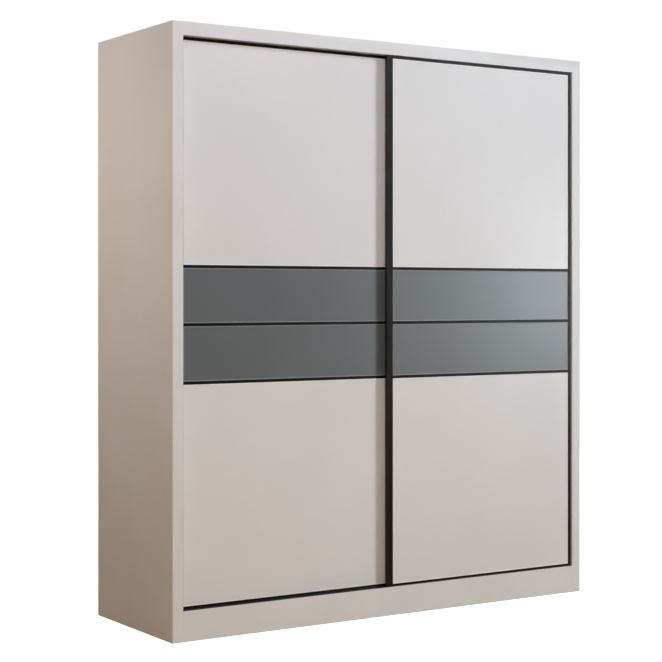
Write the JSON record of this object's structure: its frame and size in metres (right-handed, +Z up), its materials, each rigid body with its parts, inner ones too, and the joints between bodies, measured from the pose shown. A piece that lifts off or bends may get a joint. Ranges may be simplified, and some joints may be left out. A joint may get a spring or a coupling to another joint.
{
  "type": "sliding door wardrobe",
  "caption": "Wide wardrobe with two framed sliding doors in offset tracks, light panels with dark bands, shelves and a hanging rail inside.",
  "frame": {"origin": "centre of the underside, on the floor", "axes": "+X along the width to the right, +Y from the doors to the back, +Z up"},
  "size_m": [1.8, 0.6, 2.1],
  "materials": {
    "white_board": "satin",
    "door_white": "satin",
    "grey_band": "gloss",
    "dark_frame": "satin anodised",
    "dark_track": "satin anodised",
    "light_track": "satin",
    "hardboard": "matt",
    "bright_steel": "polished",
    "zinc_steel": "satin",
    "dark_nylon": "matt",
    "pale_nylon": "matt",
    "pile": "pile",
    "soft_rubber": "matt"
  },
  "bodies": {
    "carcass": {"back_joiner": "pale_nylon", "back_panel_left": "hardboard", "back_panel_right": "hardboard", "bottom_panel": "white_board", "bottom_track": "dark_track", "cam_locks": "zinc_steel", "divider": "white_board", "door_buffers": "soft_rubber", "hanging_tube": "bright_steel", "jamb_liners": "white_board", "plinth_braces": "white_board", "plinth_front": "white_board", "plinth_rear": "white_board", "shelf_left_hat": "white_board", "shelf_pins": "bright_steel", "shelf_right_1": "white_board", "shelf_right_2": "white_board", "shelf_right_3": "white_board", "shelf_right_hat": "white_board", "side_panel_left": "white_board", "side_panel_right": "white_board", "stile_left": "white_board", "stile_right": "white_board", "top_fascia": "white_board", "top_panel": "white_board", "top_track": "light_track", "tube_sockets": "bright_steel", "wall_rails": "white_board"},
    "front_door": {"front_door_axles": "zinc_steel", "front_door_bars": "dark_frame", "front_door_bottom_rail": "dark_frame", "front_door_brush_seal": "pile", "front_door_carriages": "zinc_steel", "front_door_handle_stile": "dark_frame", "front_door_lower_band": "grey_band", "front_door_lower_panel": "door_white", "front_door_outer_stile": "dark_frame", "front_door_screws": "zinc_steel", "front_door_top_guides": "dark_nylon", "front_door_top_rail": "dark_frame", "front_door_upper_band": "grey_band", "front_door_upper_panel": "door_white"},
    "rear_door": {"rear_door_axles": "zinc_steel", "rear_door_bars": "dark_frame", "rear_door_bottom_rail": "dark_frame", "rear_door_brush_seal": "pile", "rear_door_carriages": "zinc_steel", "rear_door_handle_stile": "dark_frame", "rear_door_lower_band": "grey_band", "rear_door_lower_panel": "door_white", "rear_door_outer_stile": "dark_frame", "rear_door_screws": "zinc_steel", "rear_door_top_guides": "dark_nylon", "rear_door_top_rail": "dark_frame", "rear_door_upper_band": "grey_band", "rear_door_upper_panel": "door_white"},
    "front_door_handle_wheel": {"front_door_handle_wheel": "dark_nylon"},
    "front_door_outer_wheel": {"front_door_outer_wheel": "dark_nylon"},
    "rear_door_handle_wheel": {"rear_door_handle_wheel": "dark_nylon"},
    "rear_door_outer_wheel": {"rear_door_outer_wheel": "dark_nylon"}
  },
  "joints": [
    {"name": "front_door_slide", "type": "slide", "parent": "carcass", "child": "front_door", "axis": [1, 0, 0], "range_m": [-0.83375, 0]},
    {"name": "rear_door_slide", "type": "slide", "parent": "carcass", "child": "rear_door", "axis": [1, 0, 0], "range_m": [0, 0.83375]},
    {"name": "front_door_handle_wheel_spin", "type": "hinge", "parent": "front_door", "child": "front_door_handle_wheel", "pos_m": [0.05175, -0.27815, 0.1203], "axis": [0, 1, 0], "continuous": true},
    {"name": "front_door_outer_wheel_spin", "type": "hinge", "parent": "front_door", "child": "front_door_outer_wheel", "pos_m": [0.782, -0.27815, 0.1203], "axis": [0, 1, 0], "continuous": true},
    {"name": "rear_door_handle_wheel_spin", "type": "hinge", "parent": "rear_door", "child": "rear_door_handle_wheel", "pos_m": [-0.05175, -0.25315, 0.1203], "axis": [0, 1, 0], "continuous": true},
    {"name": "rear_door_outer_wheel_spin", "type": "hinge", "parent": "rear_door", "child": "rear_door_outer_wheel", "pos_m": [-0.782, -0.25315, 0.1203], "axis": [0, 1, 0], "continuous": true}
  ],
  "couplings": [
    {"joint": "front_door_handle_wheel_spin", "follows": "front_door_slide", "rad_per_m": 90.909},
    {"joint": "front_door_outer_wheel_spin", "follows": "front_door_slide", "rad_per_m": 90.909},
    {"joint": "rear_door_handle_wheel_spin", "follows": "rear_door_slide", "rad_per_m": 90.909},
    {"joint": "rear_door_outer_wheel_spin", "follows": "rear_door_slide", "rad_per_m": 90.909}
  ]
}
